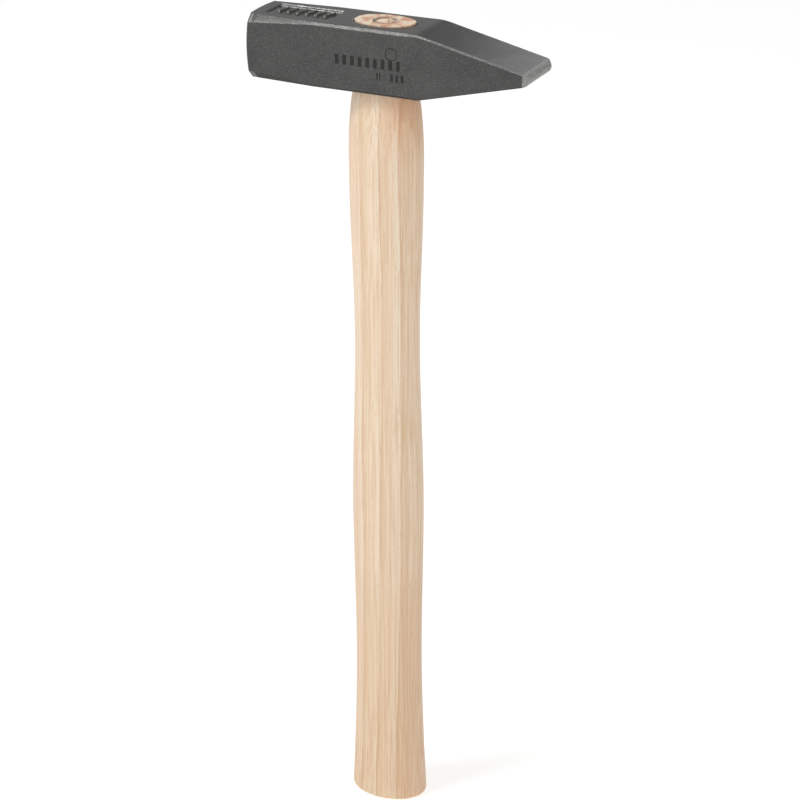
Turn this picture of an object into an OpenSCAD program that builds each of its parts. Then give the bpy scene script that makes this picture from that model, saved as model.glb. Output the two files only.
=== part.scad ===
// Cross peen hammer: a forged head on an oval ash handle, held by a ring
// wedge driven into the handle's end.
// Millimetres. Z runs up the handle, from the flat middle of the butt to the
// head. X runs along the head, towards the peen. Y is across the hammer.

/* [Overall] */
// height from the butt to the end of the wood
overall_h = 300; // [240:1:360]
// length of the head, from the striking face to the nose of the peen
head_l = 105; // [87:0.5:130]
// width of the head across Y
head_w = 22.5; // [18.7:0.1:27]
// height of the head along Z
head_h = 22.7; // [18.8:0.1:28]

/* [Striking end] */
// distance from the handle's axis to the striking face
face_reach = 48.3; // [40:0.1:58]
// diameter of the flat middle of the striking face
face_flat_d = 12; // [6:0.5:15]
// radius of the crown around the flat middle
crown_r = 58; // [40:1:90]
// width of the chamfers on the four long edges, at the striking face
edge_chamfer = 2.9; // [2:0.1:4.5]

/* [Peen] */
// distance from the handle's axis to where the peen starts to taper
taper_reach = 16.4; // [14.5:0.1:20]
// thickness of the peen behind its rounded nose
nose_t = 4.5; // [3:0.1:8]
// height of the nose above the middle of the head
nose_rise = 0.2; // [0:0.1:2]
// how far the nose is rounded forward
nose_round = 1.9; // [0.8:0.1:2.2]
// bevel on the two ends of the nose
nose_bevel = 1.8; // [0.5:0.1:2.5]

/* [Eye] */
// length of the eye along X, at its waist
eye_l = 21.4; // [17.8:0.1:23.5]
// width of the eye across Y, at its waist
eye_w = 13.2; // [11:0.1:14]
// how much the eye opens out towards its two mouths
eye_flare = 1; // [0.4:0.1:1.6]

/* [Ring wedge] */
// outside diameter of the ring wedge at its top
ring_d = 8.8; // [7:0.1:10]
// wall of the ring wedge at its top
ring_wall = 1.1; // [0.8:0.1:1.6]
// depth that the ring wedge is driven in
ring_depth = 9; // [5:0.5:14]

/* [Top panel] */
// length of the sunken panel on top of the head
panel_l = 25.2; // [16:0.1:26]
// width of the sunken panel
panel_w = 12.4; // [8:0.1:13]
// depth of the sunken panel
panel_depth = 0.9; // [0.4:0.1:1.5]

/* [Handle] */
// width along X of the swell under the head
swell_w = 27; // [25:0.1:33]
// width of the handle's waist
waist_w = 24.1; // [20:0.1:29]
// width of the middle of the grip
grip_w = 26.9; // [22:0.1:33]
// width of the tail, between the grip and the butt
tail_w = 25.4; // [21:0.1:31]
// width of the butt
butt_w = 29.2; // [24:0.1:35]
// thickness of the handle across Y as a share of its width
thickness_share = 0.74; // [0.65:0.01:0.8]
// radius of the rounded edge of the butt
butt_round = 1.6; // [1:0.1:4]

/* [Hidden] */
steel_colour = [0.33, 0.33, 0.33];
bare_colour = [0.62, 0.62, 0.63];
ash_colour = [0.88, 0.78, 0.65];

// fits and margins
wood_proud = 0.5;     // the wood stands this far above the head
end_gap = 0.5;        // gap between wood and eye at the ends of the top mouth
side_gap = 0.05;      // gap between wood and eye along the sides
shoulder = 0.2;       // ledge of the handle that bears on the head's underside
ring_sink = 0.2;      // the ring is driven this far below the end of the wood
wood_round = 0.4;     // rounded edge at the end of the wood
cut = 1;              // a cutting solid passes a surface by this much
reach = 200;          // longer than any distance across the head

// heights
head_top = overall_h - wood_proud;
head_bottom = head_top - head_h;
head_middle = head_top - head_h / 2;

// the eye is an oval whose ends are cut square
mouth_l = eye_l + eye_flare;
mouth_w = eye_w + eye_flare;
square_ends = 1.04;   // length of the whole oval as a share of the cut one
end_crown = 0.1;      // the squared ends bulge a little
eye_sides = 40;
eye_rings = 8;

// the handle's outline: where its stations lie, as shares of the handle below the head
tail_at = 0.215;
grip_at = 0.433;
waist_at = 0.67;
swell_at = 0.89;
flare_power = 1.7;    // how quickly the butt flares
neck_power = 2.5;     // how quickly the swell rounds in under the head
handle_sides = 40;
handle_rings = 36;
round_rings = 5;

// the peen
nose_x = head_l - face_reach;
nose_back = nose_x - nose_round;
nose_r = (pow(nose_t / 2, 2) + pow(nose_round, 2)) / (2 * nose_round);
nose_swing = acos((nose_r - nose_round) / nose_r);
top_ease = 2.1;       // half length of the eased edge where the top slopes away
nose_steps = 8;
ease_steps = 4;

// the long chamfers end short of the eye
chamfer_end = -mouth_l / 2 + 1.2;

// the panel lies between the crown and the eye
panel_shift = 1.2;    // the panel sits this much nearer the face than midway
panel_x = -(face_reach - crown_drop(head_h / 2) + mouth_l / 2) / 2 - panel_shift;
panel_draft = 0.6;    // how far the panel's walls lean in
bar_w = 1.3;          // width of the raised bars in the panel
bar_rise = 0.6;
bar_lean = 24;        // slant of the bars, in degrees
bar_margin = 1.5;     // clear floor around the bars
bar_count = 6;        // bars in each of the two rows
bar_pitch = (panel_l - 2 * (panel_draft + bar_margin)) / bar_count;
bar_l = panel_w / 2 - panel_draft - bar_margin;

// a mix of a and b, and a smooth step from 0 to 1
function mix(a, b, u) = a + (b - a) * u;
function ease(u) = u * u * (3 - 2 * u);

// how far the crown has fallen away from the face at a radius r
function crown_drop(r) = (r * r - pow(face_flat_d / 2, 2)) / (2 * crown_r);

// the eye's length or width at t, from -1 at the bottom mouth to 1 at the top mouth
function eye_size(waist, t) = waist + eye_flare * t * t;

// one ring of an oval: half sizes hx and hy at height z, with squared ends when k is over 1
function ring(z, hx, hy, k, sides) = [
    for (i = [0 : sides - 1])
        let (
            a = 360 * i / sides,
            along = min(k * abs(cos(a)), 1 - end_crown * (1 - abs(cos(a))))
        )
        [hx * along * sign(cos(a)), hy * sin(a), z]
];

// the handle's width along X at a share s of its height below the head
function outline(s) =
    s < tail_at ? tail_w + (butt_w - tail_w) * pow(1 - s / tail_at, flare_power)
    : s < grip_at ? mix(tail_w, grip_w, ease((s - tail_at) / (grip_at - tail_at)))
    : s < waist_at ? mix(grip_w, waist_w, ease((s - grip_at) / (waist_at - grip_at)))
    : s < swell_at ? mix(waist_w, swell_w, ease((s - waist_at) / (swell_at - waist_at)))
    : mix(swell_w, neck_w, pow((s - swell_at) / (1 - swell_at), neck_power));

// the handle's thickness at the same place, drawn in to the eye's width at the neck
function thickness(s) =
    s < swell_at ? outline(s) * thickness_share
    : mix(swell_w * thickness_share, neck_t, pow((s - swell_at) / (1 - swell_at), neck_power));

// the neck stands a ledge wider than the tenon that fills the bottom mouth
neck_w = mouth_l - 2 * side_gap + 2 * shoulder;
neck_t = mouth_w - 2 * side_gap + 2 * shoulder;

// a closed solid through rings of points that all have the same number of sides
module skin(rings) {
    sides = len(rings[0]);
    last = len(rings) - 1;
    points = [for (r = rings) for (p = r) p];
    walls = [
        for (j = [0 : last - 1], i = [0 : sides - 1])
            let (n = (i + 1) % sides, a = j * sides, b = a + sides)
            each [[a + i, b + n, a + n], [a + i, b + i, b + n]]
    ];
    floor_face = [for (i = [0 : sides - 1]) i];
    roof_face = [for (i = [sides - 1 : -1 : 0]) last * sides + i];
    polyhedron(points = points, faces = concat(walls, [floor_face, roof_face]));
}

// outline of the head in the XZ plane, z from the head's middle
function head_outline() = let (
    top = head_h / 2,
    slope = (top - nose_rise - nose_t / 2) / (nose_back - taper_reach),
    ease_in = [taper_reach - top_ease, top],
    corner = [taper_reach, top],
    ease_out = [taper_reach + top_ease, top - slope * top_ease]
) concat(
    [[-reach, -top], [taper_reach, -top]],
    [for (i = [0 : nose_steps])
        let (a = mix(-nose_swing, nose_swing, i / nose_steps))
        [nose_x - nose_r + nose_r * cos(a), nose_rise + nose_r * sin(a)]],
    [for (i = [0 : ease_steps])
        let (u = i / ease_steps)
        mix(mix(ease_out, corner, u), mix(corner, ease_in, u), u)],
    [[-reach, top]]
);

// everything behind the crowned striking face, turned about X
module turned_face() {
    crown_steps = 6;
    edge_r = norm([head_w, head_h]) / 2 + cut;
    rotate([0, -90, 0]) rotate_extrude($fn = 96)
        polygon(concat(
            [[0, -reach], [reach, -reach], [reach, face_reach - crown_drop(edge_r)]],
            [for (i = [crown_steps : -1 : 0])
                let (r = mix(face_flat_d / 2, edge_r, i / crown_steps))
                [r, face_reach - crown_drop(r)]],
            [[0, face_reach]]
        ));
}

// cuts one long edge back, widest at the face and running out at chamfer_end
module chamfer_cut() {
    x0 = -face_reach - cut;
    x1 = chamfer_end + cut;
    rate = edge_chamfer / (chamfer_end + face_reach);
    c0 = rate * (chamfer_end - x0);
    c1 = rate * (chamfer_end - x1);
    m = 3 * cut;
    y = -head_w / 2;
    z = head_h / 2;
    polyhedron(
        points = [
            [x0, y - m, z - c0 - m], [x0, y + c0 + m, z + m], [x0, y - m, z + m],
            [x1, y - m, z - c1 - m], [x1, y + c1 + m, z + m], [x1, y - m, z + m]
        ],
        faces = [[0, 1, 2], [3, 5, 4], [0, 3, 4, 1], [1, 4, 5, 2], [2, 5, 3, 0]]
    );
}

// cuts one end of the nose back at a slant
module nose_cut() {
    translate([nose_x - nose_bevel, -head_w / 2, 0]) rotate([0, 0, 45])
        translate([-reach / 2, -reach, -reach / 2]) cube([reach, reach, reach]);
}

// the hole for the handle, opening out to both mouths
module eye_hole() {
    skin([for (j = [-1 : eye_rings + 1])
        let (t = mix(-1, 1, j / eye_rings))
        ring(t * head_h / 2, eye_size(eye_l, t) / 2, eye_size(eye_w, t) / 2, square_ends, eye_sides)]);
}

// the sunken panel with leaning walls
module panel_cut() {
    spread = panel_draft * cut / panel_depth;
    low = [panel_l / 2 - panel_draft, panel_w / 2 - panel_draft];
    top = [panel_l / 2 + spread, panel_w / 2 + spread];
    polyhedron(
        points = [
            for (level = [[low, -panel_depth], [top, cut]], c = [[-1, -1], [1, -1], [1, 1], [-1, 1]])
                [c[0] * level[0][0], c[1] * level[0][1], level[1]]
        ],
        faces = [[0, 1, 2, 3], [7, 6, 5, 4], [0, 4, 5, 1], [1, 5, 6, 2], [2, 6, 7, 3], [3, 7, 4, 0]]
    );
}

// two rows of slanted bars standing on the panel's floor
module panel_bars() {
    for (row = [-1, 1], i = [0 : bar_count - 1])
        translate([(i - (bar_count - 1) / 2) * bar_pitch, row * (bar_l + bar_w / 2) / 2, -panel_depth - cut])
            rotate([0, 0, -bar_lean * row])
                translate([-bar_w / 2, -bar_l / 2, 0]) cube([bar_w, bar_l, bar_rise + cut]);
}

// the forged steel head
module hammer_head() {
    color(steel_colour) translate([0, 0, head_middle]) {
        difference() {
            intersection() {
                rotate([90, 0, 0]) translate([0, 0, -head_w / 2])
                    linear_extrude(head_w) polygon(head_outline());
                turned_face();
            }
            for (flip_y = [0, 1], flip_z = [0, 1])
                mirror([0, flip_y, 0]) mirror([0, 0, flip_z]) chamfer_cut();
            for (flip_y = [0, 1]) mirror([0, flip_y, 0]) nose_cut();
            eye_hole();
            translate([panel_x, 0, head_h / 2]) panel_cut();
        }
        translate([panel_x, 0, head_h / 2]) panel_bars();
    }
}

// the ring wedge's profile, widened upwards by the given length
module ring_profile(extra = 0) {
    r = ring_d / 2;
    tip_wall = 0.3;
    tip_r = r - 0.4;
    polygon([
        [tip_r - tip_wall, -ring_depth], [tip_r, -ring_depth], [r, 0], [r, extra],
        [r - ring_wall, extra], [r - ring_wall, 0]
    ]);
}

// the round steel wedge
module ring_wedge() {
    color(bare_colour) translate([0, 0, overall_h - ring_sink])
        rotate_extrude($fn = 64) ring_profile();
}

// rings of the tenon inside the eye, from the bottom mouth up to the rounded end
function tenon_rings() = concat(
    [for (j = [0 : eye_rings])
        let (
            t = mix(-1, 1, j / eye_rings),
            gap = mix(side_gap, end_gap, ease(j / eye_rings))
        )
        ring(mix(head_bottom, head_top, j / eye_rings), eye_size(eye_l, t) / 2 - gap,
            eye_size(eye_w, t) / 2 - side_gap, square_ends, handle_sides)],
    [for (rise = [0, wood_round])
        ring(overall_h - wood_round + rise, mouth_l / 2 - end_gap - rise / 2,
            mouth_w / 2 - side_gap - rise / 2, square_ends, handle_sides)],
    [ring(overall_h + cut, mouth_l / 2 - end_gap - wood_round / 2,
        mouth_w / 2 - side_gap - wood_round / 2, square_ends, handle_sides)]
);

// rings of the handle from below the butt up to the ledge under the head
function grip_rings() = concat(
    [ring(-cut, outline(0) / 2 - butt_round, thickness(0) / 2 - butt_round, 1, handle_sides)],
    [for (i = [0 : round_rings - 1])
        let (
            a = 90 * i / round_rings,
            z = butt_round * (1 - cos(a)),
            inset = butt_round * (1 - sin(a)),
            s = z / head_bottom
        )
        ring(z, outline(s) / 2 - inset, thickness(s) / 2 - inset, 1, handle_sides)],
    [for (i = [0 : handle_rings])
        let (
            z = mix(butt_round, head_bottom, i / handle_rings),
            s = z / head_bottom,
            k = s < swell_at ? 1 : mix(1, square_ends, (s - swell_at) / (1 - swell_at))
        )
        ring(z, outline(s) / 2, thickness(s) / 2, k, handle_sides)]
);

// the ash handle, cut flat at both ends and split by the ring wedge
module handle() {
    color(ash_colour) difference() {
        skin(concat(grip_rings(), tenon_rings()));
        translate([-reach / 2, -reach / 2, -reach]) cube([reach, reach, reach]);
        translate([-reach / 2, -reach / 2, overall_h]) cube([reach, reach, reach]);
        translate([0, 0, overall_h - ring_sink]) rotate_extrude($fn = 64) ring_profile(ring_sink + cut);
    }
}

hammer_head();
handle();
ring_wedge();
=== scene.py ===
"""A cross peen hammer: a forged, lacquered head on an oval ash handle, held by a ring wedge.

Every length inside the classes is in millimetres; MM turns it into metres as a mesh is made.
Z runs up the handle from the butt, X along the head towards the peen, Y across the hammer.
"""

import logging
from dataclasses import dataclass, field
from enum import Enum
from math import asin, cos, pi, radians, sin, tan
from typing import Any, Sequence

import bpy
import numpy as np
from mathutils import Matrix, Vector

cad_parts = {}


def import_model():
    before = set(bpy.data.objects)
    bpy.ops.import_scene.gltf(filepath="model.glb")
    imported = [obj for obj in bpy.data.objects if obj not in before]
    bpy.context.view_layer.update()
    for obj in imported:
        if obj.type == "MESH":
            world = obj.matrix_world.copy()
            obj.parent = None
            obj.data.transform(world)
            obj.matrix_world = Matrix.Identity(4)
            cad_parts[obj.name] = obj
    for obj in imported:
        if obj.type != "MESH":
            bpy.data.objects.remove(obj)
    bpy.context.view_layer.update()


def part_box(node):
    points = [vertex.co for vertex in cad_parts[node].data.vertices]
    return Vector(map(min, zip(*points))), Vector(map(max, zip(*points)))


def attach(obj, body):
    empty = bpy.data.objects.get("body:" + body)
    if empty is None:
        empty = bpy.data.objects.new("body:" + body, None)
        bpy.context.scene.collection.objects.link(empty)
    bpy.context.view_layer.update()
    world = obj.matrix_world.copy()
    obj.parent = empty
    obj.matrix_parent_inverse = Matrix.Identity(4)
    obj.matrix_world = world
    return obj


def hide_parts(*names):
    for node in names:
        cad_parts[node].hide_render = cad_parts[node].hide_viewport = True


MM = 0.001
BODY = "root"
LOG = logging.getLogger("hammer")

Triple = tuple[float, float, float]
Socket = Any

GOLDEN_ANGLE = 2.39996


# ---------------------------------------------------------------------------
# small shape functions
# ---------------------------------------------------------------------------


def mix(low: Any, high: Any, share: Any) -> Any:
    """The straight mix low + (high - low) * share."""
    return low + (high - low) * share


def ease(share: Any) -> Any:
    """A smooth step: 3s^2 - 2s^3, flat at both ends, of a share held between 0 and 1."""
    held = np.clip(share, 0.0, 1.0)
    return held * held * (3 - 2 * held)


def chain(*spans: tuple[float, float, int]) -> np.ndarray:
    """Stations one after another along a line.

    Each span (start, end, steps) gives steps equal steps; the start of a span is dropped
    where it repeats the end of the one before.

    Args:
        spans: start, end and number of steps of each stretch.

    Returns:
        The stations as one rising array.
    """
    runs = [np.linspace(a, b, n + 1) for a, b, n in spans]
    return np.concatenate([runs[0]] + [r[1:] for r in runs[1:]])


def ripple(x: np.ndarray, y: np.ndarray, size: float, seed: float) -> np.ndarray:
    """A gentle unevenness between -1 and 1.

    The sum of four sine waves whose directions turn by the golden angle and whose lengths
    shrink from the given size by a factor of 1.3 each time.

    Args:
        x: first coordinate of the points.
        y: second coordinate of the points.
        size: length of the longest wave.
        seed: phase that sets one pattern apart from another.

    Returns:
        The height at each point.
    """
    total = np.zeros(np.broadcast(x, y).shape)
    for k in range(4):
        turn = seed + GOLDEN_ANGLE * k
        rate = 2 * pi / size * 1.3**k
        total = total + np.sin(rate * (x * cos(turn) + y * sin(turn)) + seed * (k + 1))
    return total / 4


def grid_quads(index: np.ndarray, closed: bool = True) -> np.ndarray:
    """Four-cornered faces between neighbouring rows and columns of a grid of vertex numbers.

    Face (i, j) joins [i, j], [i+1, j], [i+1, j+1] and [i, j+1], so that it faces along
    row direction x column direction.

    Args:
        index: vertex numbers, rows by columns.
        closed: whether the last column joins the first.

    Returns:
        The faces, four vertex numbers each.
    """
    over = np.roll(index, -1, axis=1) if closed else index[:, 1:]
    here = index if closed else index[:, :-1]
    return np.stack([here[:-1], here[1:], over[1:], over[:-1]], -1).reshape(-1, 4)


def make_piece(
    name: str,
    points: np.ndarray,
    faces: Sequence[Sequence[int]],
    values: dict[str, np.ndarray],
    sharp: float = 40.0,
) -> bpy.types.Object:
    """A mesh object from points in millimetres, without the points that no face uses.

    Args:
        name: name of the piece.
        points: one row of x, y, z per vertex, in millimetres.
        faces: vertex numbers of each face.
        values: per-vertex numbers that the finish reads, by name.
        sharp: angle in degrees above which an edge stays crisp.

    Returns:
        The new object, at the origin.
    """
    used = np.unique(np.concatenate([np.asarray(f).ravel() for f in faces]))
    renumber = np.full(len(points), -1)
    renumber[used] = np.arange(len(used))
    polygons: list[list[int]] = []
    for group in faces:
        polygons += renumber[np.atleast_2d(np.asarray(group))].tolist()
    mesh = bpy.data.meshes.new(name)
    mesh.from_pydata((points[used] * MM).tolist(), [], polygons)
    for label, value in values.items():
        layer = mesh.attributes.new(label, "FLOAT", "POINT")
        layer.data.foreach_set("value", value[used].astype(np.float32))
    mesh.validate()
    mesh.shade_smooth()
    mesh.set_sharp_from_angle(angle=radians(sharp))
    piece = bpy.data.objects.new(name, mesh)
    bpy.context.scene.collection.objects.link(piece)
    return piece


def settle(piece: bpy.types.Object, node: str) -> bpy.types.Object:
    """Puts a piece on the body in place of its plain solid, and logs it.

    Args:
        piece: the finished object.
        node: the plain solid that it stands for.

    Returns:
        The same object.
    """
    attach(piece, BODY)
    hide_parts(node)
    LOG.info("%s: %d faces, in place of %s", piece.name, len(piece.data.polygons), node)
    return piece


# ---------------------------------------------------------------------------
# finishes
# ---------------------------------------------------------------------------


class Sum(Enum):
    """Ways of joining two numbers in a finish."""

    ADD = "ADD"
    TAKE = "SUBTRACT"
    TIMES = "MULTIPLY"
    OVER = "DIVIDE"
    HIGH = "MAXIMUM"
    UNDER = "LESS_THAN"
    WRAP = "FRACT"
    SIZE = "ABSOLUTE"
    ROOT = "SQRT"


class Lay(Enum):
    """Ways of laying one colour on another."""

    COVER = "MIX"
    STAIN = "MULTIPLY"


@dataclass(frozen=True)
class Pattern:
    """Random variation: features per metre along x, y and z, its finer layers and a shift.

    A small number of features along an axis draws the pattern out that way.
    """

    rate: Triple
    layers: float = 2.0
    rough: float = 0.5
    shift: Triple = (0.0, 0.0, 0.0)


def even(rate: float, layers: float = 2.0, rough: float = 0.5, shift: Triple = (0.0, 0.0, 0.0)) -> Pattern:
    """A pattern with the same number of features per metre along every axis."""
    return Pattern((rate, rate, rate), layers, rough, shift)


class Signal:
    """A number or colour that varies over a piece; numbers join with +, -, * and /."""

    def __init__(self, coat: "Coat", socket: Socket) -> None:
        """Holds a node's output together with the material that it belongs to."""
        self.coat = coat
        self.socket = socket

    def __add__(self, other: Any) -> "Signal":
        """This plus another signal or a constant."""
        return self.coat.join(Sum.ADD, self, other)

    def __sub__(self, other: Any) -> "Signal":
        """This less another signal or a constant."""
        return self.coat.join(Sum.TAKE, self, other)

    def __rsub__(self, other: float) -> "Signal":
        """A constant less this."""
        return self.coat.join(Sum.TAKE, other, self)

    def __mul__(self, other: Any) -> "Signal":
        """This times another signal or a constant."""
        return self.coat.join(Sum.TIMES, self, other)

    def __truediv__(self, other: Any) -> "Signal":
        """This over another signal or a constant."""
        return self.coat.join(Sum.OVER, self, other)

    def high(self, other: Any) -> "Signal":
        """The larger of this and another."""
        return self.coat.join(Sum.HIGH, self, other)

    def under(self, limit: float) -> "Signal":
        """1 where this lies below the limit and 0 elsewhere."""
        return self.coat.join(Sum.UNDER, self, limit)

    def wrap(self) -> "Signal":
        """The part after the whole number."""
        return self.coat.join(Sum.WRAP, self)

    def size(self) -> "Signal":
        """The value without its sign."""
        return self.coat.join(Sum.SIZE, self)

    def root(self) -> "Signal":
        """The square root."""
        return self.coat.join(Sum.ROOT, self)

    def span(self, low: float, high: float, to_low: float = 0.0, to_high: float = 1.0) -> "Signal":
        """Carries low..high smoothly to to_low..to_high and holds it there.

        Args:
            low: value that gives to_low.
            high: value that gives to_high.
            to_low: result at low and beyond.
            to_high: result at high and beyond.

        Returns:
            The new number.
        """
        node = self.coat.tree.nodes.new("ShaderNodeMapRange")
        node.interpolation_type = "SMOOTHSTEP"
        self.coat.feed(node.inputs["Value"], self)
        labels = ("From Min", "From Max", "To Min", "To Max")
        for label, number in zip(labels, (low, high, to_low, to_high)):
            node.inputs[label].default_value = number
        return Signal(self.coat, node.outputs[0])


class Coat:
    """A material in the making: one Principled shader and the nodes that feed it."""

    def __init__(self, name: str) -> None:
        """Starts an empty material with its shader and its object coordinates."""
        self.material = bpy.data.materials.new(name)
        self.material.use_nodes = True
        self.tree = self.material.node_tree
        self.tree.nodes.clear()
        self.shader = self.tree.nodes.new("ShaderNodeBsdfPrincipled")
        out = self.tree.nodes.new("ShaderNodeOutputMaterial")
        self.tree.links.new(self.shader.outputs[0], out.inputs[0])
        self.place = self.tree.nodes.new("ShaderNodeTexCoord").outputs["Object"]

    def feed(self, socket: Socket, value: Any) -> None:
        """Links a signal to a socket, or sets the socket to a number or colour."""
        if isinstance(value, Signal):
            self.tree.links.new(value.socket, socket)
        elif isinstance(value, tuple) and len(value) == 3 and socket.type == "RGBA":
            socket.default_value = (*value, 1.0)
        else:
            socket.default_value = value

    def dress(self, **settings: Any) -> None:
        """Sets or links sockets of the shader; an underscore stands for a space."""
        for label, value in settings.items():
            self.feed(self.shader.inputs[label.replace("_", " ")], value)

    def axes(self) -> tuple[Signal, Signal, Signal]:
        """The x, y and z of each point, in metres."""
        node = self.tree.nodes.new("ShaderNodeSeparateXYZ")
        self.tree.links.new(self.place, node.inputs[0])
        return tuple(Signal(self, node.outputs[which]) for which in "XYZ")

    def value(self, label: str) -> Signal:
        """A per-vertex number of the piece."""
        node = self.tree.nodes.new("ShaderNodeAttribute")
        node.attribute_name = label
        return Signal(self, node.outputs["Fac"])

    def scaled(self, rate: Triple, shift: Triple = (0.0, 0.0, 0.0)) -> Socket:
        """Object coordinates times a rate along each axis, then shifted."""
        node = self.tree.nodes.new("ShaderNodeMapping")
        self.tree.links.new(self.place, node.inputs["Vector"])
        node.inputs["Scale"].default_value = rate
        node.inputs["Location"].default_value = shift
        return node.outputs[0]

    def cloud(self, pattern: Pattern) -> Signal:
        """Soft random variation, about 0.5 on average."""
        node = self.tree.nodes.new("ShaderNodeTexNoise")
        self.tree.links.new(self.scaled(pattern.rate, pattern.shift), node.inputs["Vector"])
        node.inputs["Scale"].default_value = 1.0
        node.inputs["Detail"].default_value = pattern.layers
        node.inputs["Roughness"].default_value = pattern.rough
        return Signal(self, node.outputs[0])

    def cells(self, rate: Triple) -> Signal:
        """Distance to the nearest of many scattered points, for pits and pores."""
        node = self.tree.nodes.new("ShaderNodeTexVoronoi")
        self.tree.links.new(self.scaled(rate), node.inputs["Vector"])
        node.inputs["Scale"].default_value = 1.0
        return Signal(self, node.outputs["Distance"])

    def join(self, how: Sum, first: Any, second: Any = 0.0) -> Signal:
        """Joins two numbers, each a signal or a constant."""
        node = self.tree.nodes.new("ShaderNodeMath")
        node.operation = how.value
        self.feed(node.inputs[0], first)
        self.feed(node.inputs[1], second)
        return Signal(self, node.outputs[0])

    def ramp(self, value: Signal, *stops: tuple[float, Triple]) -> Signal:
        """A colour read off a row of stops.

        Args:
            value: number between 0 and 1.
            stops: place and colour of each stop, in rising order.

        Returns:
            The colour.
        """
        node = self.tree.nodes.new("ShaderNodeValToRGB")
        self.feed(node.inputs[0], value)
        points = node.color_ramp.elements
        while len(points) < len(stops):
            points.new(0.5)
        for point, (place, colour) in zip(points, stops):
            point.position = place
            point.color = (*colour, 1.0)
        return Signal(self, node.outputs[0])

    def blend(self, share: Any, first: Any, second: Any, how: Lay = Lay.COVER) -> Signal:
        """Lays the second colour on the first by a share."""
        node = self.tree.nodes.new("ShaderNodeMix")
        node.data_type = "RGBA"
        node.blend_type = how.value
        self.feed(node.inputs[0], share)
        self.feed(node.inputs[6], first)
        self.feed(node.inputs[7], second)
        return Signal(self, node.outputs[2])

    def dent(self, height: Signal, depth: float, strength: float = 1.0, over: Signal | None = None) -> Signal:
        """A normal bent by a height.

        Args:
            height: height between 0 and 1.
            depth: depth of a height of 1, in millimetres.
            strength: strength of the effect.
            over: another bent normal below this one.

        Returns:
            The bent normal.
        """
        node = self.tree.nodes.new("ShaderNodeBump")
        node.inputs["Strength"].default_value = strength
        node.inputs["Distance"].default_value = depth * MM
        self.feed(node.inputs["Height"], height)
        if over is not None:
            self.feed(node.inputs["Normal"], over)
        return Signal(self, node.outputs[0])


@dataclass(frozen=True)
class StrokeRow:
    """A row of upright strokes: its left and lower edge, its size and its pitch, in millimetres."""

    left: float
    low: float
    length: float
    height: float
    pitch: float


@dataclass(frozen=True)
class CheekStamp:
    """Plain generic stamping on the near cheek: a ring over two rows of strokes, in millimetres.

    x is measured from the handle's axis and z from the head's middle.
    """

    rows: tuple[StrokeRow, ...] = (
        StrokeRow(-13.6, -1.9, 24.2, 3.4, 2.86),
        StrokeRow(1.9, -5.7, 1.7, 2.5, 1.0),
        StrokeRow(7.1, -5.7, 4.9, 2.5, 1.95),
    )
    stroke_share: float = 0.5
    ring_middle: tuple[float, float] = (7.4, 3.6)
    ring_radius: float = 2.1
    ring_line: float = 0.36
    reach: float = 0.2

    def build(self, coat: Coat, middle_z: float, side_y: float) -> Signal:
        """The share of stamping at each point.

        A row is where the distances to its middle are inside its half length and half
        height and the wrapped distance along it, over the pitch, is inside the stroke.
        The ring is where the distance to its middle is within half a line of its radius.

        Args:
            coat: the material in the making.
            middle_z: height of the head's middle, in millimetres.
            side_y: y of the near cheek, in millimetres.

        Returns:
            1 inside a mark and 0 outside.
        """
        x, y, z = coat.axes()
        ring_x, ring_z = self.ring_middle
        dx, dz = x - ring_x * MM, z - (middle_z + ring_z) * MM
        off = (dx * dx + dz * dz).root() - self.ring_radius * MM
        found = off.size().under(self.ring_line / 2 * MM)
        for row in self.rows:
            along = x - row.left * MM
            up = z - (middle_z + row.low) * MM
            half_l, half_h = row.length / 2 * MM, row.height / 2 * MM
            inside = (along - half_l).size().under(half_l) * (up - half_h).size().under(half_h)
            stroke = (along / (row.pitch * MM)).wrap().under(self.stroke_share)
            found = found.high(inside * stroke)
        return found * y.under((side_y + self.reach) * MM)


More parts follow.
